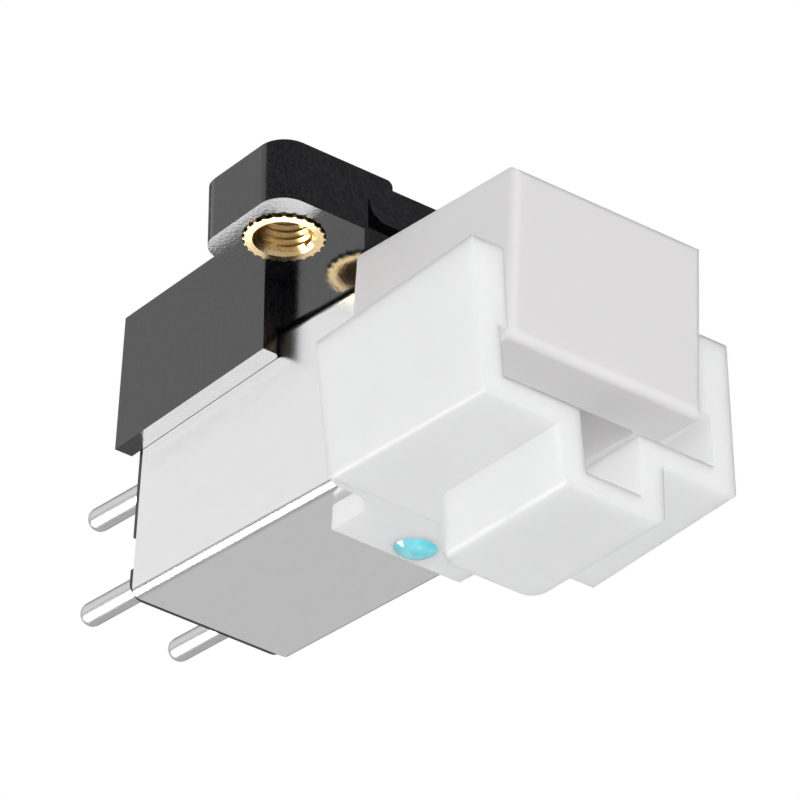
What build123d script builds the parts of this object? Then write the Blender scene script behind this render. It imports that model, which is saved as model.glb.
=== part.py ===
"""Turntable stylus cartridge of the moving magnet kind, with its stylus guard in place.

The origin lies on the mounting face, midway between the two fixing screws.
+Z is up towards the arm, -Y is the front and +X is the right channel side.
Lengths are millimetres. The shield case, the stylus and the terminals share
a frame that is pitched about X, so that their rear end sits a little higher.
"""
import os
from math import cos, radians, tan

from build123d import *

os.makedirs("parts", exist_ok=True)

# Fixing screws
screw_spacing = 12.7
screw_radius = 1.25
screw_clearance = 0.15

# Mounting bracket
ear_reach = 2.25
ear_front = -2.55
ear_rear = 3.0
ear_height = 2.85
ear_corner_radius = 1.2
relief_half_width = 2.75
relief_depth = 0.42
relief_length = 1.3
relief_corner_radius = 0.3
pocket_half_width = 4.0
pocket_lip = 0.12
pocket_depth = 0.6
panel_gap = 0.07
panel_bottom = -2.2
panel_corner_radius = 0.86
saddle_half_width = 5.05
saddle_rear = 12.65
saddle_skirt = 6.25
skirt_edge_radius = 0.3

# Threaded inserts
insert_radius = 1.7
insert_root_radius = 1.56
insert_thread_height = 0.1
insert_length = 2.55
insert_proud = 0.12
insert_chamfer = 0.16
knurl_count = 24

# Shield case
pitch = 4.3
case_half_width = 4.15
case_top = -5.14
case_bottom = -14.04
case_front = -3.3
case_rear = 11.9
case_wall = 0.4
case_edge_radius = 0.45

# Clearances, and the length by which a cut runs past its piece
seat_gap = 0.02
slide_gap = 0.05
spigot_gap = 0.1
overrun = 1.0

# Terminal block and pins
block_depth = 3.0
block_plate = 0.36
block_inset = 0.12
block_corner_radius = 0.7
block_notch_height = 1.5
block_notch_depth = 0.6
block_notch_level = -11.9
pin_radius = 0.525
pin_root_width = 0.74
pin_spacing_x = 4.6
pin_spacing_z = 4.5
pin_centre = -9.97
pin_tail = 0.5
pin_tip = 17.8
pin_nose = 0.45

# Stylus holder
holder_top = -4.44
holder_bottom = -12.38
holder_front = -13.57
holder_rake = 0.4
holder_half_width_top = 4.84
holder_half_width_bottom = 4.95
holder_edge_radius = 0.38
holder_front_wall = 2.4
holder_side_wall = 1.05
holder_rear_wall = 1.1
holder_cavity_depth = 6.0
holder_foot = -13.9
spigot_depth = 0.7

# Stylus suspension, placed on the line of the cantilever
tracking_angle = 26.0
pivot_station = -3.2
pivot_level = -11.8
sleeve_radius = 1.1
sleeve_wall = 0.25
sleeve_front = 1.0
sleeve_rear = 3.4
anchor_length = 0.8
damper_length = 0.7
damper_gap = 0.06
cantilever_length = 8.2
cantilever_tail = 0.9
cantilever_radius = 0.3
cantilever_tip_radius = 0.22
cantilever_wall = 0.06
cantilever_step = 4.0
carrier_radius = 0.5
carrier_length = 0.8
carrier_gap = 0.15
magnet_gap = 0.06
magnet_width = 0.34
magnet_length = 1.1
magnet_offset = 0.3
magnet_splay = 8.0
wire_radius = 0.04
diamond_radius = 0.12
diamond_setback = 0.35
diamond_above = 0.33
diamond_shank = 0.62
diamond_point = 0.22
diamond_blunt_radius = 0.02
magnet_collar_bore = 0.12

# Generator inside the case
core_inner = 1.3
core_thickness = 1.0
core_width = 1.0
core_front = -1.7
core_rear = 6.8
core_top = -6.6
core_bottom = -12.8
pole_drop = 2.0
pole_chamfer = 1.2
bobbin_wall = 0.25
bobbin_flange = 0.3
coil_side_gap = 0.1
coil_build = 1.1
shield_thickness = 0.3
shield_front = 1.3
socket_half_width = 1.25
socket_top = -8.9

# Stylus guard
guard_wall = 1.1
guard_edge_radius = 0.25
guard_front_top = (-12.6, -9.16)
guard_front_bottom = (-13.24, -16.7)
guard_rear_top = (-3.0, -9.67)
guard_rear_bottom = (-3.83, -16.45)
guard_half_width = 6.42
guard_flare = 2.3
guard_draft = 0.64
rib_gap = 0.03
rib_bottom = -13.05
rib_rear = -5.0
rib_root = 0.35
guard_plan_top = -7.0
channel_half_width = 2.5
channel_wall = 1.2
channel_floor = 0.95
channel_draft = 2.5
channel_bottom_front = -19.55
channel_bottom_rear = -19.35
channel_rear = -5.3
channel_edge_radius = 0.4
channel_corner_radius = 0.9
web_rear = -3.75
web_half_width = 6.2
web_corner_radius = 0.9
tongue_half_width = 3.3
tongue_front = -5.9
tongue_rear = -0.5
tongue_thickness = 1.15
tongue_gap = 0.2
tongue_edge_radius = 0.2
tongue_root_radius = 1.3
dot_radius = 0.9
dot_height = 0.36
dot_shoulder = (0.62, 0.66)
dot_offset = 0.2
dot_station = -1.7

# Frames
body_frame = Plane.XY.rotated((pitch, 0, 0))
rearward = Axis(origin=(0, 0, 0), direction=body_frame.y_dir)
upward = Axis(origin=(0, 0, 0), direction=body_frame.z_dir)
pivot = body_frame.from_local_coords(Vector(0, pivot_station, pivot_level))
needle_line = Plane(
    pivot,
    x_dir=(1, 0, 0),
    z_dir=Vector(0, -1, 0).rotate(Axis.X, tracking_angle),
)


def across(station):
    """Cross-section of the pitched body; extruding it runs towards the front."""
    origin = body_frame.from_local_coords(Vector(0, station, 0))
    return Plane(origin, x_dir=(1, 0, 0), z_dir=-body_frame.y_dir)


def beside(x=0.0):
    """Side view of the pitched body; its x runs to the rear and its y runs up."""
    return Plane((x, 0, 0), x_dir=body_frame.y_dir, z_dir=(1, 0, 0))


def level(height):
    """Plan of the pitched body at a height."""
    origin = body_frame.from_local_coords(Vector(0, 0, height))
    return Plane(origin, x_dir=(1, 0, 0), z_dir=body_frame.z_dir)


def upright(station, height):
    """A point of the pitched side view, in the unpitched side view."""
    point = body_frame.from_local_coords(Vector(0, station, height))
    return (point.Y, point.Z)


def on_line(start, end, share):
    """The point a share of the way from start to end."""
    return tuple(a + (b - a) * share for a, b in zip(start, end))


def finish(builder, name):
    """Labels a finished piece and writes it."""
    builder.part.label = name
    export_step(builder.part, f"parts/{name}.step")


# Mounting bracket: a block with two ears, carrying a saddle over the shield case
ear_middle = (ear_front + ear_rear) / 2
ear_half_width = screw_spacing / 2 + ear_reach
saddle_rear_top = (saddle_rear / cos(radians(pitch)), 0)
saddle_rear_foot = (saddle_rear_top[0] + saddle_skirt * tan(radians(pitch)), -saddle_skirt)
seat_top = case_top + seat_gap

with BuildPart() as mounting_bracket:
    with BuildSketch(Plane.XY):
        with Locations((0, ear_middle)):
            Rectangle(2 * ear_half_width, ear_rear - ear_front)
        fillet(vertices(), ear_corner_radius)
    extrude(amount=-ear_height)
    with BuildSketch(Plane.XZ.offset(-ear_front)):
        Rectangle(2 * relief_half_width, 2 * relief_depth)
    extrude(amount=-relief_length, mode=Mode.SUBTRACT)
    relief_rims = edges().filter_by(Axis.Y).filter_by(
        lambda edge: abs(abs(edge.center().X) - relief_half_width) < 0.01
        and edge.center().Z > -0.01
    )
    fillet(relief_rims, relief_corner_radius)
    with BuildSketch(Plane.YZ):
        Polygon(
            (ear_front, -ear_height),
            (ear_middle, -ear_height),
            (ear_middle, 0),
            saddle_rear_top,
            saddle_rear_foot,
            (ear_front, -saddle_skirt),
            align=None,
        )
    extrude(amount=case_half_width + seat_gap, both=True)
    with BuildSketch(Plane.YZ):
        Polygon(
            (ear_rear, 0),
            saddle_rear_top,
            saddle_rear_foot,
            (ear_rear, -saddle_skirt),
            align=None,
        )
    extrude(amount=saddle_half_width, both=True)
    with BuildSketch(across(saddle_rear + overrun)):
        with Locations((0, seat_top)):
            Rectangle(
                2 * (case_half_width + seat_gap),
                2 * saddle_skirt,
                align=(Align.CENTER, Align.MAX),
            )
    extrude(amount=saddle_rear - ear_front + 3 * overrun, mode=Mode.SUBTRACT)
    skirt_tips = edges().filter_by(Axis.Z).filter_by(
        lambda edge: abs(abs(edge.center().X) - case_half_width - seat_gap) < 0.01
        and abs(edge.center().Y - ear_rear) < 0.01
        and edge.center().Z < case_top
    )
    fillet(skirt_tips, skirt_edge_radius)
    with BuildSketch(Plane.XZ.offset(-ear_front)):
        with Locations((0, panel_bottom + panel_corner_radius)):
            Rectangle(
                2 * pocket_half_width,
                ear_height - pocket_lip + panel_bottom + panel_corner_radius,
                align=(Align.CENTER, Align.MAX),
            )
        with Locations((0, panel_bottom)):
            RectangleRounded(
                2 * (pocket_half_width - panel_gap),
                3 * panel_corner_radius,
                panel_corner_radius,
                align=(Align.CENTER, Align.MIN),
                mode=Mode.SUBTRACT,
            )
    extrude(amount=-pocket_depth, mode=Mode.SUBTRACT)
    with BuildSketch(Plane.XY):
        with Locations((-screw_spacing / 2, 0), (screw_spacing / 2, 0)):
            Circle(screw_radius + screw_clearance)
    extrude(amount=-ear_height, mode=Mode.SUBTRACT)
    with BuildSketch(Plane.XY.offset(-ear_height)):
        with Locations((-screw_spacing / 2, 0), (screw_spacing / 2, 0)):
            Circle(insert_radius + seat_gap)
    extrude(amount=insert_length - insert_proud, mode=Mode.SUBTRACT)
finish(mounting_bracket, "mounting_bracket")

# Threaded inserts: knurled brass bushes, pressed up into the ears
insert_bottom = -ear_height - insert_proud
insert_bore_radius = screw_radius - insert_thread_height
knurl_depth = insert_radius - insert_root_radius

for side, place in (("left", -1), ("right", 1)):
    with BuildPart() as threaded_insert:
        with BuildSketch(Plane((place * screw_spacing / 2, 0, insert_bottom))):
            Circle(insert_radius)
            with PolarLocations(insert_radius + knurl_depth / 2, knurl_count):
                RegularPolygon(knurl_depth * 1.5, 4, rotation=45, mode=Mode.SUBTRACT)
        extrude(amount=insert_length - seat_gap)
        with BuildSketch(Plane((place * screw_spacing / 2, 0, insert_bottom))):
            Circle(insert_bore_radius)
        extrude(amount=insert_length, mode=Mode.SUBTRACT)
        mouth = edges().filter_by(GeomType.CIRCLE).filter_by(
            lambda edge: abs(edge.radius - insert_bore_radius) < 0.01
        )
        chamfer(mouth, insert_chamfer)
    finish(threaded_insert, f"threaded_insert_{side}")

# Shield case: a folded metal tube, open at its front and rear
case_height = case_top - case_bottom
case_middle = (case_top + case_bottom) / 2
case_inner_half_width = case_half_width - case_wall
case_inner_height = case_height - 2 * case_wall

with BuildPart() as shield_case:
    with BuildSketch(across(case_rear)):
        with Locations((0, case_middle)):
            RectangleRounded(2 * case_half_width, case_height, case_edge_radius)
            RectangleRounded(
                2 * case_inner_half_width,
                case_inner_height,
                case_edge_radius - case_wall / 2,
                mode=Mode.SUBTRACT,
            )
    extrude(amount=case_rear - case_front)
finish(shield_case, "shield_case")

# Terminal block: fills the rear of the case and carries the four pins
block_front = case_rear - block_depth
block_rear = case_rear + seat_gap + block_plate
pin_levels = (
    ("signal", pin_centre + pin_spacing_z / 2),
    ("return", pin_centre - pin_spacing_z / 2),
)
pin_places = [(x, z) for x in (-pin_spacing_x / 2, pin_spacing_x / 2) for _, z in pin_levels]

with BuildPart() as terminal_block:
    with BuildSketch(across(case_rear + seat_gap)):
        with Locations((0, case_middle)):
            RectangleRounded(
                2 * (case_inner_half_width - slide_gap),
                case_inner_height - 2 * slide_gap,
                case_edge_radius,
            )
    extrude(amount=block_depth)
    with BuildSketch(across(block_rear)):
        with Locations((0, case_middle)):
            RectangleRounded(
                2 * (case_half_width - block_inset),
                case_height - 2 * block_inset,
                block_corner_radius,
            )
        notch_centre = case_half_width - block_inset
        with Locations((-notch_centre, block_notch_level), (notch_centre, block_notch_level)):
            SlotCenterToCenter(
                2 * block_notch_depth - block_notch_height / 2,
                block_notch_height,
                mode=Mode.SUBTRACT,
            )
    extrude(amount=block_plate)
    with BuildSketch(across(block_rear)):
        with Locations(*pin_places):
            Rectangle(pin_root_width + 2 * seat_gap, pin_root_width + 2 * seat_gap)
    extrude(amount=block_depth + block_plate + overrun, mode=Mode.SUBTRACT)
finish(terminal_block, "terminal_block")

# Terminal pins: round-nosed, with a square root through the block and a short tail
pin_front = block_front - pin_tail

for channel, x in (("left", -pin_spacing_x / 2), ("right", pin_spacing_x / 2)):
    for role, z in pin_levels:
        with BuildPart() as terminal_pin:
            with BuildSketch(across(pin_tip)):
                with Locations((x, z)):
                    Circle(pin_radius)
            extrude(amount=pin_tip - block_rear)
            fillet(edges().group_by(rearward)[-1], pin_nose)
            with BuildSketch(across(block_rear)):
                with Locations((x, z)):
                    Rectangle(pin_root_width, pin_root_width)
            extrude(amount=block_rear - pin_front)
        finish(terminal_pin, f"terminal_pin_{channel}_{role}")

# Generator: for each channel a laminated core, a bobbin and its winding
core_centre = core_inner + core_thickness / 2
coil_bottom = core_bottom + core_width + seat_gap
coil_top = core_top - core_width - seat_gap
bobbin_hole_x = core_thickness + 2 * slide_gap
bobbin_hole_y = core_width + 2 * slide_gap
bobbin_tube_x = bobbin_hole_x + 2 * bobbin_wall
bobbin_tube_y = bobbin_hole_y + 2 * bobbin_wall
flange_x = 2 * (core_centre - shield_thickness / 2 - coil_side_gap)
flange_y = bobbin_tube_y + 2 * coil_build
coil_centre = core_rear - core_width / 2

for channel, place in (("left", -1), ("right", 1)):
    with BuildPart() as pole_core:
        with BuildSketch(beside(place * core_centre)):
            Polygon(
                (core_rear, core_top),
                (core_front + pole_chamfer, core_top),
                (core_front, core_top - pole_chamfer),
                (core_front, core_top - core_width - pole_drop),
                (core_front + core_width, core_top - core_width - pole_drop),
                (core_front + core_width, core_top - core_width),
                (core_rear - core_width, core_top - core_width),
                (core_rear - core_width, core_bottom + core_width),
                (core_front, core_bottom + core_width),
                (core_front, core_bottom),
                (core_rear, core_bottom),
                align=None,
            )
        extrude(amount=core_thickness / 2, both=True)
    finish(pole_core, f"pole_core_{channel}")

    with BuildPart() as coil_bobbin:
        for height in (coil_bottom, coil_top - bobbin_flange):
            with BuildSketch(level(height)):
                with Locations((place * core_centre, coil_centre)):
                    Rectangle(flange_x, flange_y)
                chamfer(vertices(), bobbin_flange)
            extrude(amount=bobbin_flange)
        with BuildSketch(level(coil_bottom)):
            with Locations((place * core_centre, coil_centre)):
                Rectangle(bobbin_tube_x, bobbin_tube_y)
        extrude(amount=coil_top - coil_bottom)
        with BuildSketch(level(coil_bottom)):
            with Locations((place * core_centre, coil_centre)):
                Rectangle(bobbin_hole_x, bobbin_hole_y)
        extrude(amount=coil_top - coil_bottom, mode=Mode.SUBTRACT)
    finish(coil_bobbin, f"coil_bobbin_{channel}")

    with BuildPart() as coil_winding:
        with BuildSketch(level(coil_bottom + bobbin_flange + seat_gap)):
            with Locations((place * core_centre, coil_centre)):
                RectangleRounded(
                    flange_x - 2 * coil_side_gap,
                    flange_y - 2 * coil_side_gap,
                    coil_build / 2,
                )
                Rectangle(
                    bobbin_tube_x + 2 * seat_gap,
                    bobbin_tube_y + 2 * seat_gap,
                    mode=Mode.SUBTRACT,
                )
        extrude(amount=coil_top - coil_bottom - 2 * (bobbin_flange + seat_gap))
    finish(coil_winding, f"coil_winding_{channel}")

# Coil carrier: a moulded floor and front wall, with a socket for the stylus sleeve
carrier_front = case_front + spigot_depth + spigot_gap
carrier_bottom = case_bottom + case_wall + slide_gap
carrier_top = case_top - case_wall - slide_gap
carrier_half_width = case_inner_half_width - slide_gap
carrier_floor = core_bottom - seat_gap

with BuildPart() as coil_carrier:
    with BuildSketch(beside()):
        Polygon(
            (carrier_front, carrier_bottom),
            (block_front - slide_gap, carrier_bottom),
            (block_front - slide_gap, carrier_floor),
            (core_front, carrier_floor),
            (core_front, carrier_top),
            (carrier_front, carrier_top),
            align=None,
        )
    extrude(amount=carrier_half_width, both=True)
    fillet(edges().filter_by(rearward).group_by(upward)[0], case_edge_radius - case_wall / 2)
    with BuildSketch(across(core_front)):
        with Locations((0, carrier_floor)):
            Rectangle(
                2 * socket_half_width,
                socket_top - carrier_floor,
                align=(Align.CENTER, Align.MIN),
            )
    extrude(amount=core_front - carrier_front, mode=Mode.SUBTRACT)
finish(coil_carrier, "coil_carrier")

# Channel shield: a thin plate between the two coils
with BuildPart() as channel_shield:
    with BuildSketch(beside()):
        with Locations((shield_front, carrier_floor + seat_gap)):
            Rectangle(
                block_front - slide_gap - shield_front,
                carrier_top - carrier_floor - seat_gap,
                align=(Align.MIN, Align.MIN),
            )
    extrude(amount=shield_thickness / 2, both=True)
finish(channel_shield, "channel_shield")

# Stylus holder: a moulded block, hollow below, with a spigot for the mouth of the case
cavity_half_width = holder_half_width_top - holder_side_wall
holder_rear = case_front - seat_gap
cavity_rear = holder_rear - holder_rear_wall
cavity_front = holder_front + holder_front_wall

with BuildPart() as stylus_holder:
    with BuildSketch(across(holder_rear)):
        Polygon(
            (-holder_half_width_top, holder_top),
            (holder_half_width_top, holder_top),
            (holder_half_width_bottom, holder_bottom),
            (-holder_half_width_bottom, holder_bottom),
            align=None,
        )
    extrude(amount=holder_rear - holder_front + holder_rake)
    with BuildSketch(beside()):
        Polygon(
            (holder_front, holder_top),
            (holder_rear, holder_top),
            (holder_rear, holder_bottom),
            (holder_front - holder_rake, holder_bottom),
            align=None,
        )
    extrude(amount=2 * holder_half_width_bottom, both=True, mode=Mode.INTERSECT)
    fillet(faces().sort_by(rearward)[0].edges(), holder_edge_radius)
    with BuildSketch(level(holder_bottom)):
        with Locations((0, (cavity_front + cavity_rear) / 2)):
            RectangleRounded(2 * cavity_half_width, cavity_rear - cavity_front, holder_edge_radius)
    extrude(amount=holder_cavity_depth, mode=Mode.SUBTRACT)
    with BuildSketch(across(holder_rear)):
        with Locations((0, holder_foot)):
            Rectangle(
                2 * case_half_width,
                holder_bottom - holder_foot + overrun,
                align=(Align.CENTER, Align.MIN),
            )
    extrude(amount=holder_rear_wall)
    with BuildSketch(across(holder_rear + spigot_depth)):
        with Locations((0, case_middle)):
            RectangleRounded(
                2 * (case_inner_half_width - slide_gap),
                case_inner_height - 2 * slide_gap,
                case_edge_radius,
            )
    extrude(amount=spigot_depth)
    with BuildSketch(needle_line.offset(-sleeve_rear)):
        Circle(sleeve_radius + seat_gap)
    extrude(amount=sleeve_rear + sleeve_front + overrun, mode=Mode.SUBTRACT)
finish(stylus_holder, "stylus_holder")

# Stylus sleeve, with the rear anchor and the damper that it holds
sleeve_bore = sleeve_radius - sleeve_wall

with BuildPart() as stylus_sleeve:
    with BuildSketch(needle_line.offset(-sleeve_rear)):
        Circle(sleeve_radius)
        Circle(sleeve_bore, mode=Mode.SUBTRACT)
    extrude(amount=sleeve_rear + sleeve_front)
finish(stylus_sleeve, "stylus_sleeve")

with BuildPart() as wire_anchor:
    with BuildSketch(needle_line.offset(-sleeve_rear)):
        Circle(sleeve_bore - seat_gap)
        Circle(wire_radius + seat_gap, mode=Mode.SUBTRACT)
    extrude(amount=anchor_length)
finish(wire_anchor, "wire_anchor")

with BuildPart() as damper_ring:
    with BuildSketch(needle_line.offset(-damper_length / 2)):
        Circle(sleeve_bore - seat_gap)
        Circle(cantilever_radius + damper_gap, mode=Mode.SUBTRACT)
    extrude(amount=damper_length)
finish(damper_ring, "damper_ring")

# Cantilever: a tube stepped down to a thinner front half, pierced for the stylus tip
tail_end = -cantilever_tail
diamond_place = cantilever_length - diamond_setback
diamond_centre = needle_line.from_local_coords(Vector(0, 0, diamond_place))
diamond_top = Plane((0, diamond_centre.Y, diamond_centre.Z + diamond_above), z_dir=(0, 0, -1))

with BuildPart() as cantilever:
    with BuildSketch(Plane(pivot, x_dir=needle_line.z_dir, z_dir=(1, 0, 0))):
        Polygon(
            (tail_end, cantilever_radius),
            (cantilever_step, cantilever_radius),
            (cantilever_step, cantilever_tip_radius),
            (cantilever_length, cantilever_tip_radius),
            (cantilever_length, cantilever_tip_radius - cantilever_wall),
            (cantilever_step - cantilever_wall, cantilever_tip_radius - cantilever_wall),
            (cantilever_step - cantilever_wall, cantilever_radius - cantilever_wall),
            (tail_end, cantilever_radius - cantilever_wall),
            align=None,
        )
    revolve(axis=Axis(origin=pivot, direction=needle_line.z_dir))
    with BuildSketch(diamond_top):
        Circle(diamond_radius + seat_gap)
    extrude(amount=2 * diamond_above, mode=Mode.SUBTRACT)
finish(cantilever, "cantilever")

with BuildPart() as stylus_tip:
    with BuildSketch(diamond_top):
        Circle(diamond_radius)
    extrude(amount=diamond_shank)
    with BuildSketch(diamond_top.offset(diamond_shank)):
        Circle(diamond_radius)
    with BuildSketch(diamond_top.offset(diamond_shank + diamond_point)):
        Circle(diamond_blunt_radius)
    loft()
finish(stylus_tip, "stylus_tip")

# Magnets: two bars in a V behind the cantilever, in a small collar
collar_front = -damper_length / 2 - carrier_gap
collar_rear = collar_front - carrier_length
wire_front = tail_end - carrier_gap

with BuildPart() as magnet_collar:
    with BuildSketch(needle_line.offset(collar_rear)):
        Circle(carrier_radius)
        Circle(magnet_collar_bore, mode=Mode.SUBTRACT)
    extrude(amount=carrier_length)
    with BuildSketch(needle_line.offset(tail_end - seat_gap)):
        Circle(cantilever_radius + seat_gap)
    extrude(amount=carrier_length, mode=Mode.SUBTRACT)
finish(magnet_collar, "magnet_collar")

for channel, place in (("left", -1), ("right", 1)):
    magnet_root = Vector(place * magnet_offset, 0, collar_rear - magnet_gap)
    straight_back = Plane(
        needle_line.from_local_coords(magnet_root),
        x_dir=(1, 0, 0),
        z_dir=-needle_line.z_dir,
    )
    splayed = straight_back.rotated((0, -place * magnet_splay, 0))
    with BuildPart() as magnet:
        with BuildSketch(splayed):
            Rectangle(magnet_width, magnet_width)
        extrude(amount=magnet_length)
    finish(magnet, f"magnet_{channel}")

with BuildPart() as suspension_wire:
    with BuildSketch(needle_line.offset(-sleeve_rear)):
        Circle(wire_radius)
    extrude(amount=sleeve_rear + wire_front)
finish(suspension_wire, "suspension_wire")

# Stylus guard: a clear moulding around the holder, with a channel for the cantilever
guard_flare_rate = tan(radians(guard_flare))
guard_rake_run = guard_front_bottom[0] - guard_front_top[0]
guard_rake = guard_rake_run / (guard_front_top[1] - guard_front_bottom[1])
guard_foot = channel_bottom_front - overrun
guard_plan_front = guard_front_bottom[0] - 2 * overrun
guard_plan_rear = guard_rear_top[0] + overrun


def half_width_at(y):
    """Half width of the guard's outside, at the height of its foot."""
    return guard_half_width + (y - guard_front_top[0]) * guard_flare_rate


def guard_plan(inset):
    """Corners of the guard's plan, inset from its outside."""
    front = half_width_at(guard_plan_front) - inset
    rear = half_width_at(guard_plan_rear) - inset
    return [
        (-front, guard_plan_front),
        (front, guard_plan_front),
        (rear, guard_plan_rear),
        (-rear, guard_plan_rear),
    ]


def rake_point(height):
    """The guard's front at a height, on the raked line of its ends."""
    return (guard_front_top[0] + (guard_front_top[1] - height) * guard_rake, height)


floor_front = (guard_plan_front + overrun, guard_front_bottom[1] + guard_wall)
floor_rear = (guard_rear_bottom[0] + 2 * overrun, guard_rear_bottom[1] + guard_wall)

with BuildPart() as guard_inside:
    with BuildSketch(Plane.XY.offset(guard_foot)):
        Polygon(*guard_plan(guard_wall), align=None)
    extrude(amount=guard_plan_top - guard_foot, taper=-guard_draft)
    with BuildSketch(Plane.YZ):
        Polygon(
            floor_front,
            floor_rear,
            (guard_plan_rear, guard_plan_top),
            (guard_plan_front, guard_plan_top),
            align=None,
        )
    extrude(amount=2 * guard_half_width, both=True, mode=Mode.INTERSECT)

channel_front = rake_point(channel_bottom_front)
channel_middle = (guard_plan_front + channel_rear) / 2
channel_length = channel_rear - guard_plan_front

with BuildPart() as guard_channel:
    with BuildSketch(Plane.XY.offset(guard_foot)):
        with Locations((0, channel_middle)):
            Rectangle(2 * channel_half_width, channel_length)
    extrude(amount=guard_front_bottom[1] + guard_wall / 2 - guard_foot, taper=-channel_draft)
    with BuildSketch(Plane.YZ):
        Polygon(
            rake_point(guard_front_bottom[1] + guard_wall / 2),
            channel_front,
            (channel_rear, channel_bottom_rear),
            (channel_rear, guard_front_bottom[1] + guard_wall / 2),
            align=None,
        )
    extrude(amount=2 * guard_half_width, both=True, mode=Mode.INTERSECT)
    corners = faces().sort_by(Axis.Y)[-1].edges().filter_by(
        lambda edge: abs(edge.center().X) > channel_half_width / 2
    )
    fillet(corners, channel_corner_radius)
    lowest = faces().sort_by(Axis.Z)[0]
    channel_edges = lowest.edges().filter_by(
        lambda edge: edge.center().Y > channel_front[0] + channel_edge_radius
    )
    fillet(channel_edges, channel_edge_radius)

channel_void_top = guard_front_bottom[1] + 2 * guard_wall

with BuildPart() as channel_inside:
    with BuildSketch(Plane.XY.offset(guard_foot)):
        with Locations((0, channel_middle - channel_wall)):
            Rectangle(2 * (channel_half_width - channel_wall), channel_length)
    extrude(amount=channel_void_top - guard_foot, taper=-channel_draft)
    with BuildSketch(Plane.YZ):
        Polygon(
            (guard_plan_front, channel_bottom_front + channel_floor),
            (guard_plan_rear, channel_bottom_rear + channel_floor),
            (guard_plan_rear, channel_void_top),
            (guard_plan_front, channel_void_top),
            align=None,
        )
    extrude(amount=2 * guard_half_width, both=True, mode=Mode.INTERSECT)

tongue_top = case_bottom - tongue_gap
tongue_bottom = tongue_top - tongue_thickness


def on_web_line(vertex):
    """Whether a corner of the tongue's plan lies on the rear edge of its web."""
    return abs(level(tongue_bottom).to_local_coords(vertex).Y - web_rear) < 0.01


with BuildPart() as guard_tongue:
    with BuildSketch(level(tongue_bottom)):
        with BuildLine():
            Polyline(
                (-web_half_width, tongue_front),
                (-web_half_width, web_rear),
                (-tongue_half_width, web_rear),
                (-tongue_half_width, tongue_rear),
                (tongue_half_width, tongue_rear),
                (tongue_half_width, web_rear),
                (web_half_width, web_rear),
                (web_half_width, tongue_front),
                close=True,
            )
        make_face()
        fillet(vertices().filter_by(on_web_line).sort_by(Axis.X)[1:-1], tongue_root_radius)
        web_line = vertices().filter_by(on_web_line).sort_by(Axis.X)
        fillet([web_line[0], web_line[-1]], web_corner_radius)
    extrude(amount=tongue_thickness)
    rear_rim = faces().sort_by(rearward)[-1].edges()
    fillet(rear_rim, tongue_edge_radius)

rib_place = holder_half_width_bottom + rib_gap
rib_share = (rib_rear - guard_front_top[0]) / (guard_rear_top[0] - guard_front_top[0])

with BuildPart() as guard_ribs:
    for side in (-1, 1):
        with BuildSketch(Plane.YZ.offset(side * rib_place)):
            Polygon(
                rake_point(rib_bottom),
                (rib_rear, rib_bottom),
                on_line(guard_front_top, guard_rear_top, rib_share),
                guard_front_top,
                align=None,
            )
        extrude(amount=side * (guard_half_width - guard_wall - rib_place + rib_root))

with BuildPart() as stylus_guard:
    with BuildSketch(Plane.XY.offset(guard_foot)):
        Polygon(*guard_plan(0), align=None)
    extrude(amount=guard_plan_top - guard_foot, taper=-guard_draft)
    with BuildSketch(Plane.YZ):
        Polygon(guard_front_top, guard_front_bottom, guard_rear_bottom, guard_rear_top, align=None)
    extrude(amount=2 * guard_half_width, both=True, mode=Mode.INTERSECT)
    shell_edges = edges().filter_by(
        lambda edge: edge.center().Y > guard_front_bottom[0] + guard_wall
        and edge.center().Z < guard_rear_bottom[1] + guard_wall
    )
    fillet(shell_edges, guard_edge_radius)
    add(guard_inside.part, mode=Mode.SUBTRACT)
    add(guard_channel.part)
    add(channel_inside.part, mode=Mode.SUBTRACT)
    add(guard_tongue.part)
    add(guard_ribs.part)
finish(stylus_guard, "stylus_guard")

# Colour dot: a drop of lacquer under the tongue
dot_shoulder_point = (
    dot_station + dot_shoulder[0] * dot_radius,
    tongue_bottom - dot_shoulder[1] * dot_height,
)
dot_centre = body_frame.from_local_coords(Vector(dot_offset, dot_station, 0))

with BuildPart() as colour_dot:
    with BuildSketch(beside(dot_offset)):
        with BuildLine():
            ThreePointArc(
                (dot_station, tongue_bottom - dot_height),
                dot_shoulder_point,
                (dot_station + dot_radius, tongue_bottom),
            )
            Polyline(
                (dot_station + dot_radius, tongue_bottom),
                (dot_station, tongue_bottom),
                (dot_station, tongue_bottom - dot_height),
            )
        make_face()
    revolve(axis=Axis(origin=dot_centre, direction=body_frame.z_dir))
finish(colour_dot, "colour_dot")
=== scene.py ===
"""Looks of the turntable stylus cartridge: finishes, insert threads, studio and camera.

The frame's origin is on the mounting face between the two screws. +Z is up,
-Y is the front, and everything is in metres.
"""
from math import cos, pi, radians, sin

import bpy
from mathutils import Matrix, Vector


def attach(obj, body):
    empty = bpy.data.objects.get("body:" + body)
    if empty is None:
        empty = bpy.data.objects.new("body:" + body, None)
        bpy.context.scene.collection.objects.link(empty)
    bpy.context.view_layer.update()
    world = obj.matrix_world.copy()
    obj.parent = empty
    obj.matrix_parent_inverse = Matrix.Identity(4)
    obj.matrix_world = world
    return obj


MM = 0.001

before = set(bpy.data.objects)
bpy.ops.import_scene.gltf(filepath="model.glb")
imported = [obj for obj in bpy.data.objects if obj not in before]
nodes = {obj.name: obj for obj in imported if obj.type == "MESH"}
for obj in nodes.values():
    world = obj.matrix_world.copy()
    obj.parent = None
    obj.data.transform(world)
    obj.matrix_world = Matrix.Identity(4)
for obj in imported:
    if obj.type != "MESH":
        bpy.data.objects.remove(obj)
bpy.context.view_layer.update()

# Shader helpers

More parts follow.
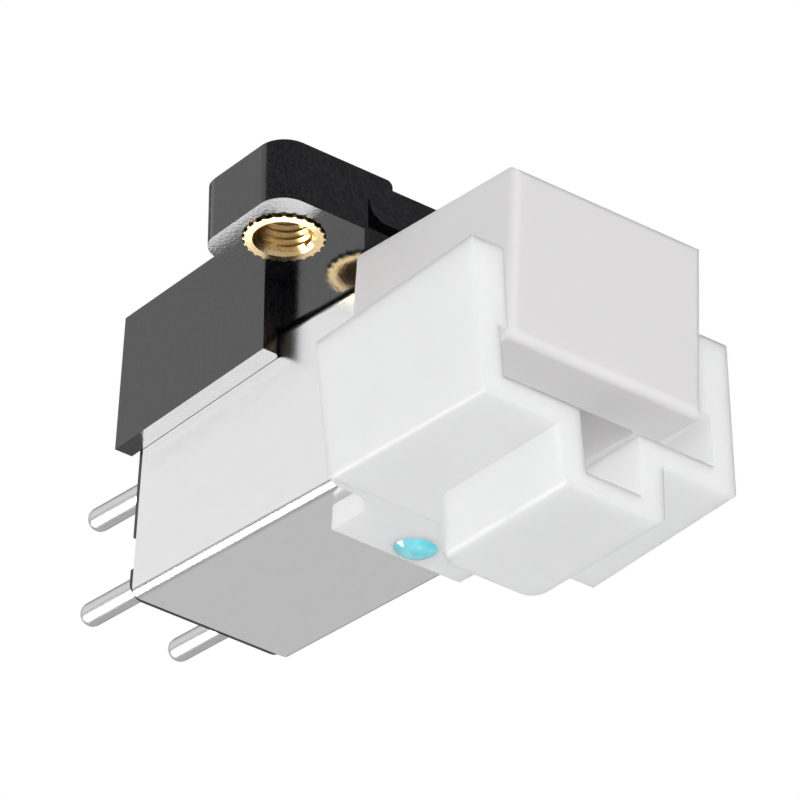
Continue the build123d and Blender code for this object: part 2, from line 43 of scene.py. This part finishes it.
# Sockets of a Mix node, which share their names, by their place
FLOAT_SOCKETS = (2, 3)
COLOUR_SOCKETS = (6, 7)
FLOAT_RESULT = 0
COLOUR_RESULT = 2

WHITE = (1, 1, 1)
BLACK = (0, 0, 0)


def new_material(name):
    """A material with its Principled shader, its node tree and an Object coordinate socket."""
    material = bpy.data.materials.new(name)
    material.use_nodes = True
    tree = material.node_tree
    shader = tree.nodes["Principled BSDF"]
    place = tree.nodes.new("ShaderNodeTexCoord").outputs["Object"]
    return material, tree, shader, place


def new_group(name, inputs, outputs):
    """An empty node group with named inputs and outputs."""
    group = bpy.data.node_groups.new(name, "ShaderNodeTree")
    for label, kind, default in inputs:
        socket = group.interface.new_socket(label, in_out="INPUT", socket_type=kind)
        if default is not None:
            socket.default_value = default
    for label, kind in outputs:
        group.interface.new_socket(label, in_out="OUTPUT", socket_type=kind)
    source = group.nodes.new("NodeGroupInput")
    sink = group.nodes.new("NodeGroupOutput")
    return group, source, sink


def noise(tree, vector, scale, detail=2.0, roughness=0.5):
    """A noise texture's value."""
    texture = tree.nodes.new("ShaderNodeTexNoise")
    texture.inputs["Scale"].default_value = scale
    texture.inputs["Detail"].default_value = detail
    texture.inputs["Roughness"].default_value = roughness
    tree.links.new(vector, texture.inputs["Vector"])
    return texture.outputs["Fac"]


def stretched(tree, vector, scale, turn):
    """The vector, turned and stretched by a mapping."""
    mapping = tree.nodes.new("ShaderNodeMapping")
    mapping.inputs["Scale"].default_value = scale
    mapping.inputs["Rotation"].default_value = turn
    tree.links.new(vector, mapping.inputs["Vector"])
    return mapping.outputs["Vector"]


def spread(tree, value, low, high, value_low=0.35, value_high=0.65):
    """Maps a noise value's usual range to low..high."""
    ramp = tree.nodes.new("ShaderNodeMapRange")
    ramp.inputs["From Min"].default_value = value_low
    ramp.inputs["From Max"].default_value = value_high
    for label, target in (("To Min", low), ("To Max", high)):
        if isinstance(target, (int, float)):
            ramp.inputs[label].default_value = target
        else:
            tree.links.new(target, ramp.inputs[label])
    tree.links.new(value, ramp.inputs["Value"])
    return ramp.outputs["Result"]


def mixed(tree, share, first, second):
    """A colour between two colours."""
    mix = tree.nodes.new("ShaderNodeMix")
    mix.data_type = "RGBA"
    tree.links.new(share, mix.inputs["Factor"])
    for place, colour in zip(COLOUR_SOCKETS, (first, second)):
        if isinstance(colour, tuple):
            mix.inputs[place].default_value = (*colour, 1)
        else:
            tree.links.new(colour, mix.inputs[place])
    return mix.outputs[COLOUR_RESULT]


def blended(tree, share, first, second):
    """A value between two values."""
    mix = tree.nodes.new("ShaderNodeMix")
    tree.links.new(share, mix.inputs["Factor"])
    for place, value in zip(FLOAT_SOCKETS, (first, second)):
        tree.links.new(value, mix.inputs[place])
    return mix.outputs[FLOAT_RESULT]


# Shared effects: noise scales are per metre, and depths are those of the bumps
CLOUD_SCALE = 260
FLOW_SCALE = 900
LINE_SCALE = 9000
BROAD_SCALE = 1500
GRAIN_DEPTH = 0.02 * MM
LINE_DEPTH = 0.01 * MM
LAYER_DEPTH = 0.02 * MM


def make_moulded_grain():
    """Moulded grain with clouded or mottled colour, used by every piece that isn't metal."""
    group, source, sink = new_group(
        "moulded grain",
        (
            ("Vector", "NodeSocketVector", None),
            ("Colour", "NodeSocketColor", (0.5, 0.5, 0.5, 1)),
            ("Second Colour", "NodeSocketColor", (0.4, 0.4, 0.4, 1)),
            ("Roughness Low", "NodeSocketFloat", 0.3),
            ("Roughness High", "NodeSocketFloat", 0.4),
            ("Grain Scale", "NodeSocketFloat", 9000.0),
            ("Grain Strength", "NodeSocketFloat", 0.1),
            ("Mottle", "NodeSocketFloat", 0.0),
        ),
        (
            ("Colour", "NodeSocketColor"),
            ("Roughness", "NodeSocketFloat"),
            ("Normal", "NodeSocketVector"),
        ),
    )
    vector = source.outputs["Vector"]
    cloud = noise(group, vector, CLOUD_SCALE, 3)
    flow = noise(group, vector, FLOW_SCALE, 4, 0.6)
    grain = group.nodes.new("ShaderNodeTexNoise")
    grain.inputs["Detail"].default_value = 2
    group.links.new(vector, grain.inputs["Vector"])
    group.links.new(source.outputs["Grain Scale"], grain.inputs["Scale"])
    pattern = blended(group, source.outputs["Mottle"], cloud, grain.outputs["Fac"])
    share = spread(group, pattern, 0.0, 1.0)
    colour = mixed(group, share, source.outputs["Colour"], source.outputs["Second Colour"])
    group.links.new(colour, sink.inputs["Colour"])
    rough = spread(group, flow, source.outputs["Roughness Low"], source.outputs["Roughness High"])
    group.links.new(rough, sink.inputs["Roughness"])
    bump = group.nodes.new("ShaderNodeBump")
    bump.inputs["Distance"].default_value = GRAIN_DEPTH
    group.links.new(source.outputs["Grain Strength"], bump.inputs["Strength"])
    group.links.new(grain.outputs["Fac"], bump.inputs["Height"])
    group.links.new(bump.outputs["Normal"], sink.inputs["Normal"])
    return group


def make_brushed_lines():
    """Fine drawing or brushing lines, used by every metal piece."""
    group, source, sink = new_group(
        "brushed lines",
        (
            ("Vector", "NodeSocketVector", None),
            ("Colour", "NodeSocketColor", (0.8, 0.8, 0.8, 1)),
            ("Second Colour", "NodeSocketColor", (0.7, 0.7, 0.7, 1)),
            ("Roughness Low", "NodeSocketFloat", 0.2),
            ("Roughness High", "NodeSocketFloat", 0.3),
            ("Line Strength", "NodeSocketFloat", 0.15),
        ),
        (
            ("Colour", "NodeSocketColor"),
            ("Roughness", "NodeSocketFloat"),
            ("Normal", "NodeSocketVector"),
        ),
    )
    vector = source.outputs["Vector"]
    lines = noise(group, vector, LINE_SCALE, 3, 0.65)
    broad = noise(group, vector, BROAD_SCALE, 3, 0.6)
    share = spread(group, lines, 0.0, 1.0)
    colour = mixed(group, share, source.outputs["Colour"], source.outputs["Second Colour"])
    group.links.new(colour, sink.inputs["Colour"])
    rough = spread(group, broad, source.outputs["Roughness Low"], source.outputs["Roughness High"])
    group.links.new(rough, sink.inputs["Roughness"])
    bump = group.nodes.new("ShaderNodeBump")
    bump.inputs["Distance"].default_value = LINE_DEPTH
    group.links.new(source.outputs["Line Strength"], bump.inputs["Strength"])
    group.links.new(lines, bump.inputs["Height"])
    group.links.new(bump.outputs["Normal"], sink.inputs["Normal"])
    return group


def make_fine_layers():
    """Fine even layers along Z, used by the windings and the laminated cores."""
    group, source, sink = new_group(
        "fine layers",
        (
            ("Vector", "NodeSocketVector", None),
            ("Scale", "NodeSocketFloat", 3000.0),
            ("Depth", "NodeSocketFloat", LAYER_DEPTH),
        ),
        (("Normal", "NodeSocketVector"),),
    )
    wave = group.nodes.new("ShaderNodeTexWave")
    wave.bands_direction = "Z"
    group.links.new(source.outputs["Vector"], wave.inputs["Vector"])
    group.links.new(source.outputs["Scale"], wave.inputs["Scale"])
    bump = group.nodes.new("ShaderNodeBump")
    bump.inputs["Strength"].default_value = 1.0
    group.links.new(source.outputs["Depth"], bump.inputs["Distance"])
    group.links.new(wave.outputs["Fac"], bump.inputs["Height"])
    group.links.new(bump.outputs["Normal"], sink.inputs["Normal"])
    return group


moulded_grain = make_moulded_grain()
brushed_lines = make_brushed_lines()
fine_layers = make_fine_layers()


def placed(tree, group, vector, values):
    """Places a group in a material with that material's own values."""
    node = tree.nodes.new("ShaderNodeGroup")
    node.node_tree = group
    tree.links.new(vector, node.inputs["Vector"])
    for label, value in values.items():
        node.inputs[label].default_value = (*value, 1) if isinstance(value, tuple) else value
    return node


def dress(tree, shader, node):
    """Links a placed group's colour, roughness and normal to the shader."""
    tree.links.new(node.outputs["Colour"], shader.inputs["Base Color"])
    tree.links.new(node.outputs["Roughness"], shader.inputs["Roughness"])
    tree.links.new(node.outputs["Normal"], shader.inputs["Normal"])


def plastic(name, colour, second, rough, grain=9000.0, strength=0.1, mottle=0.0, **constants):
    """A plastic, or another plain material, clouded or finely mottled."""
    material, tree, shader, place = new_material(name)
    node = placed(tree, moulded_grain, place, {
        "Colour": colour,
        "Second Colour": second,
        "Roughness Low": rough[0],
        "Roughness High": rough[1],
        "Grain Scale": grain,
        "Grain Strength": strength,
        "Mottle": mottle,
    })
    dress(tree, shader, node)
    for label, value in constants.items():
        shader.inputs[label.replace("_", " ")].default_value = value
    return material


def metal(name, colour, second, rough, along=(1, 1, 1), turn=(0, 0, 0), strength=0.15):
    """A metal with fine lines, drawn out along the axis whose scale is small."""
    material, tree, shader, place = new_material(name)
    node = placed(tree, brushed_lines, stretched(tree, place, along, turn), {
        "Colour": colour,
        "Second Colour": second,
        "Roughness Low": rough[0],
        "Roughness High": rough[1],
        "Line Strength": strength,
    })
    dress(tree, shader, node)
    shader.inputs["Metallic"].default_value = 1.0
    return material


def layered(material, pitch, depth, turn):
    """Gives a material fine even layers, such as turns of wire or stacked sheets."""
    tree = material.node_tree
    place = tree.nodes.new("ShaderNodeTexCoord").outputs["Object"]
    # A wave texture repeats after pi / (10 * scale)
    node = placed(tree, fine_layers, stretched(tree, place, (1, 1, 1), turn), {
        "Scale": pi / (10 * pitch),
        "Depth": depth,
    })
    tree.links.new(node.outputs["Normal"], tree.nodes["Principled BSDF"].inputs["Normal"])


def let_light_through(material, share):
    """Lets a share of soft light pass through a milky wall, which the camera sees as closed."""
    tree = material.node_tree
    shader = tree.nodes["Principled BSDF"]
    ray = tree.nodes.new("ShaderNodeLightPath")
    soft = tree.nodes.new("ShaderNodeMath")
    soft.operation = "MAXIMUM"
    tree.links.new(ray.outputs["Is Diffuse Ray"], soft.inputs[0])
    tree.links.new(ray.outputs["Is Shadow Ray"], soft.inputs[1])
    tree.links.new(spread(tree, soft.outputs[0], 1.0, 1.0 - share, 0, 1), shader.inputs["Alpha"])


# Finishes: two colours, the range of roughness, the pattern and the shader's own constants
BODY_PITCH = radians(4.3)
WITH_BODY = (-BODY_PITCH, 0, 0)
ACROSS_SHEETS = (0, pi / 2, 0)
LINES_ALONG_Y = (1, 0.03, 1)
WIRE_PITCH = 0.08 * MM
WIRE_DEPTH = 0.03 * MM
SHEET_PITCH = 0.2 * MM

bracket_plastic = plastic(
    "bracket plastic", (0.0, 0.0, 0.0005), (0.01, 0.01, 0.012), (0.1, 0.14), 8000, 0.35, 1.0,
    IOR=1.6,
)
terminal_plastic = plastic(
    "terminal plastic", (0.013, 0.013, 0.014), (0.018, 0.018, 0.02), (0.32, 0.42),
)
holder_plastic = plastic(
    "holder plastic", (0.725, 0.71, 0.715), (0.735, 0.72, 0.725), (0.3, 0.36), 6000, 0.05,
    Subsurface_Weight=0.6, Subsurface_Radius=(0.7, 0.65, 0.65), Subsurface_Scale=MM,
)
coil_plastic = plastic("coil plastic", (0.62, 0.58, 0.5), (0.66, 0.62, 0.54), (0.4, 0.5))
guard_plastic = plastic(
    "guard plastic", (0.92, 0.925, 0.935), (0.965, 0.97, 0.975), (0.44, 0.5), 2500, 0.01,
    Subsurface_Weight=1.0, Subsurface_Radius=(1.2, 1.2, 1.25), Subsurface_Scale=MM, IOR=1.49,
)
let_light_through(guard_plastic, 1.0)
let_light_through(holder_plastic, 0.6)
damper_rubber = plastic("damper rubber", (0.02, 0.02, 0.02), (0.03, 0.03, 0.03), (0.6, 0.7))
dot_lacquer = plastic(
    "dot lacquer", (0.13, 0.66, 0.8), (0.34, 0.92, 1.0), (0.06, 0.1), 1100, 0.02, 1.0,
    Coat_Weight=0.6,
)

insert_brass = metal("insert brass", (0.84, 0.65, 0.37), (0.76, 0.55, 0.27), (0.2, 0.3))
thread_brass = metal("thread brass", (0.66, 0.45, 0.2), (0.55, 0.34, 0.13), (0.22, 0.32))
case_metal = metal(
    "case metal", (0.80, 0.795, 0.797), (0.785, 0.78, 0.782), (0.23, 0.27),
    (1.4, 0.4, 1.4), WITH_BODY, 0.06,
)
pin_plating = metal(
    "pin plating", (0.68, 0.68, 0.69), (0.64, 0.64, 0.65), (0.34, 0.38),
    LINES_ALONG_Y, WITH_BODY, 0.05,
)
copper_wire = metal(
    "copper wire", (0.70, 0.27, 0.12), (0.55, 0.19, 0.08), (0.25, 0.35), (0.1, 0.1, 1),
)
core_iron = metal(
    "core iron", (0.46, 0.45, 0.43), (0.36, 0.35, 0.34), (0.3, 0.42), (1, 0.05, 0.05),
)
turned_aluminium = metal("turned aluminium", (0.82, 0.82, 0.83), (0.74, 0.74, 0.75), (0.2, 0.3))
magnet_alloy = metal("magnet alloy", (0.25, 0.25, 0.26), (0.2, 0.2, 0.21), (0.35, 0.45))
layered(copper_wire, WIRE_PITCH, WIRE_DEPTH, WITH_BODY)
layered(core_iron, SHEET_PITCH, LAYER_DEPTH, ACROSS_SHEETS)
tip_diamond = plastic(
    "tip diamond", (0.85, 0.85, 0.78), (0.8, 0.8, 0.72), (0.05, 0.08),
    Transmission_Weight=0.7, IOR=2.4,
)

finishes = {
    "mounting_bracket": bracket_plastic,
    "threaded_insert_left": insert_brass,
    "threaded_insert_right": insert_brass,
    "shield_case": case_metal,
    "terminal_block": terminal_plastic,
    "terminal_pin_left_signal": pin_plating,
    "terminal_pin_left_return": pin_plating,
    "terminal_pin_right_signal": pin_plating,
    "terminal_pin_right_return": pin_plating,
    "coil_carrier": coil_plastic,
    "coil_bobbin_left": coil_plastic,
    "coil_bobbin_right": coil_plastic,
    "coil_winding_left": copper_wire,
    "coil_winding_right": copper_wire,
    "pole_core_left": core_iron,
    "pole_core_right": core_iron,
    "channel_shield": core_iron,
    "stylus_holder": holder_plastic,
    "stylus_sleeve": turned_aluminium,
    "wire_anchor": insert_brass,
    "damper_ring": damper_rubber,
    "suspension_wire": pin_plating,
    "cantilever": turned_aluminium,
    "stylus_tip": tip_diamond,
    "magnet_collar": turned_aluminium,
    "magnet_left": magnet_alloy,
    "magnet_right": magnet_alloy,
    "stylus_guard": guard_plastic,
    "colour_dot": dot_lacquer,
}

for name, finish in finishes.items():
    mesh = nodes[name].data
    mesh.materials.clear()
    mesh.materials.append(finish)

# Thread of each insert: a helical ridge in the bore
THREAD_PITCH = 0.35 * MM
THREAD_TURNS = 6
THREAD_BASE = 1.16 * MM
THREAD_DEPTH = 0.15 * MM
THREAD_CORNERS = 4
STEPS_PER_TURN = 36
SMOOTH_ANGLE = radians(40)
INSERT_MIDDLE = -1.705 * MM
SCREW_SPACING = 12.7 * MM


def add_thread(side, x):
    """The M2.5 thread of one insert, from a four-sided section on a screw path."""
    bpy.ops.object.select_all(action="DESELECT")
    bpy.ops.mesh.primitive_circle_add(
        vertices=THREAD_CORNERS,
        radius=THREAD_DEPTH,
        location=(THREAD_BASE, 0, 0),
        rotation=(pi / 2, 0, 0),
    )
    thread = bpy.context.object
    thread.name = f"insert_thread_{side}"
    bpy.ops.object.transform_apply()
    screw = thread.modifiers.new("turns", "SCREW")
    screw.screw_offset = THREAD_PITCH
    screw.iterations = THREAD_TURNS
    screw.steps = screw.render_steps = STEPS_PER_TURN
    bpy.ops.object.modifier_apply(modifier=screw.name)
    bpy.ops.object.mode_set(mode="EDIT")
    bpy.ops.mesh.select_all(action="SELECT")
    bpy.ops.mesh.fill_holes(sides=0)
    bpy.ops.mesh.normals_make_consistent(inside=False)
    start = INSERT_MIDDLE - THREAD_PITCH * THREAD_TURNS / 2
    bpy.ops.transform.translate(value=(x, 0, start))
    bpy.ops.object.mode_set(mode="OBJECT")
    bpy.ops.object.shade_smooth_by_angle(angle=SMOOTH_ANGLE)
    thread.data.materials.append(thread_brass)
    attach(thread, "cartridge_body")


add_thread("left", -SCREW_SPACING / 2)
add_thread("right", SCREW_SPACING / 2)

# Studio: a white floor far below, soft lights and a pale sky
FLOOR_LEVEL = -0.34
FLOOR_SIZE = 6
FLOOR_CLOUDS = 3
FLOOR_TONES = (0.86, 0.88)
LIT_SPOT = (0, 0, -8 * MM)
SKY_TINT = (0.97, 0.985, 1.0)
SKY_BELOW = 0.6
SKY_ABOVE = 0.15
SKY_REACH = 0.8


def add_floor():
    """A wide floor, seen as plain white, which isn't part of the object."""
    bpy.ops.object.select_all(action="DESELECT")
    bpy.ops.mesh.primitive_plane_add(size=FLOOR_SIZE, location=(0, 0, FLOOR_LEVEL))
    floor = bpy.context.object
    floor.name = "studio_floor"
    material, tree, shader, place = new_material("studio floor")
    tone = spread(tree, noise(tree, place, FLOOR_CLOUDS), *FLOOR_TONES)
    tree.links.new(tone, shader.inputs["Base Color"])
    shader.inputs["Roughness"].default_value = 0.8
    ray = tree.nodes.new("ShaderNodeLightPath")
    shown = mixed(tree, ray.outputs["Is Camera Ray"], BLACK, WHITE)
    tree.links.new(shown, shader.inputs["Emission Color"])
    shader.inputs["Emission Strength"].default_value = 1.0
    # Only the camera sees the glow, so it isn't sampled as a light
    material.cycles.emission_sampling = "NONE"
    floor.data.materials.append(material)


def add_light(name, towards, distance, width, radiance, glossy=True, diffuse=True):
    """A soft square light in a direction from the lit spot, facing it.

    It can be left out of reflections or out of plain light.
    """
    data = bpy.data.lights.new(name, "AREA")
    data.shape = "RECTANGLE"
    data.size = data.size_y = width
    data.energy = radiance * pi * width * width
    light = bpy.data.objects.new(name, data)
    bpy.context.scene.collection.objects.link(light)
    direction = Vector(towards).normalized()
    light.location = Vector(LIT_SPOT) + direction * distance
    light.rotation_mode = "QUATERNION"
    light.rotation_quaternion = direction.to_track_quat("Z", "Y")
    light.visible_glossy = glossy
    light.visible_diffuse = diffuse


def add_sky():
    """A sky that the camera sees as white, and that lights the part more from below."""
    world = bpy.data.worlds.new("studio")
    bpy.context.scene.world = world
    world.use_nodes = True
    sky = world.node_tree
    seen = sky.nodes["Background"]
    lit = sky.nodes.new("ShaderNodeBackground")
    lit.inputs["Color"].default_value = (*SKY_TINT, 1)
    height = sky.nodes.new("ShaderNodeSeparateXYZ")
    place = sky.nodes.new("ShaderNodeTexCoord").outputs["Generated"]
    sky.links.new(place, height.inputs[0])
    strength = spread(sky, height.outputs["Z"], SKY_BELOW, SKY_ABOVE, -SKY_REACH, SKY_REACH)
    sky.links.new(strength, lit.inputs["Strength"])
    seen.inputs["Color"].default_value = (*WHITE, 1)
    seen.inputs["Strength"].default_value = 1.0
    blend = sky.nodes.new("ShaderNodeMixShader")
    ray = sky.nodes.new("ShaderNodeLightPath")
    sky.links.new(ray.outputs["Is Camera Ray"], blend.inputs["Fac"])
    sky.links.new(lit.outputs["Background"], blend.inputs[1])
    sky.links.new(seen.outputs["Background"], blend.inputs[2])
    sky.links.new(blend.outputs["Shader"], sky.nodes["World Output"].inputs["Surface"])


add_floor()
add_light("left softbox", (-0.52, 0.67, 0.53), 0.6, 0.5, 0.76)
add_light("front softbox", (-0.27, -0.9, -0.34), 0.6, 0.6, 1.2, diffuse=False)
add_light("front fill", (-0.27, -0.9, -0.34), 0.6, 0.6, 4.9, glossy=False)
add_light("key softbox", (-0.52, 0.67, -0.53), 0.3, 0.17, 10.0, diffuse=False)
add_light("key fill", (-0.52, 0.67, -0.53), 0.3, 0.135, 5.0, glossy=False)
add_light("left fill", (-0.95, 0.0, 0.3), 0.6, 0.4, 1.42, glossy=False)
add_light("right fill", (0.8, 0.2, -0.55), 0.6, 0.4, 1.6, glossy=False)
add_light("floor fill", (0.15, -0.1, -1.0), 0.3, 0.25, 0.4, glossy=False)
add_light("low softbox", (0.52, 0.74, -0.42), 0.6, 0.45, 0.42)
add_sky()

# Camera: a long lens from low in front of the left side
CAMERA_AZIMUTH = radians(-37.83)
CAMERA_ELEVATION = radians(-31.92)
CAMERA_ROLL = radians(0.66)
CAMERA_DISTANCE = 371.97 * MM
CAMERA_OFFSET = (0.29 * MM, 6.96 * MM)
SENSOR_WIDTH = 36.0
LENS = 405.0
CLIP_NEAR = 0.01
CLIP_FAR = 20
DIFFUSE_BOUNCES = 8


def add_camera():
    """The camera at the photograph's viewing angle."""
    away = Vector((
        sin(CAMERA_AZIMUTH) * cos(CAMERA_ELEVATION),
        -cos(CAMERA_AZIMUTH) * cos(CAMERA_ELEVATION),
        sin(CAMERA_ELEVATION),
    ))
    level = Vector((cos(CAMERA_AZIMUTH), sin(CAMERA_AZIMUTH), 0))
    upright = away.cross(level)
    right = level * cos(CAMERA_ROLL) + upright * sin(CAMERA_ROLL)
    up = upright * cos(CAMERA_ROLL) - level * sin(CAMERA_ROLL)
    eye = away * CAMERA_DISTANCE - right * CAMERA_OFFSET[0] - up * CAMERA_OFFSET[1]
    data = bpy.data.cameras.new("camera")
    data.lens = LENS
    data.sensor_width = SENSOR_WIDTH
    data.clip_start = CLIP_NEAR
    data.clip_end = CLIP_FAR
    camera = bpy.data.objects.new("camera", data)
    bpy.context.scene.collection.objects.link(camera)
    camera.matrix_world = Matrix((
        (right.x, up.x, away.x, eye.x),
        (right.y, up.y, away.y, eye.y),
        (right.z, up.z, away.z, eye.z),
        (0, 0, 0, 1),
    ))
    bpy.context.scene.camera = camera


add_camera()
bpy.context.scene.view_settings.view_transform = "Standard"
bpy.context.scene.cycles.diffuse_bounces = DIFFUSE_BOUNCES
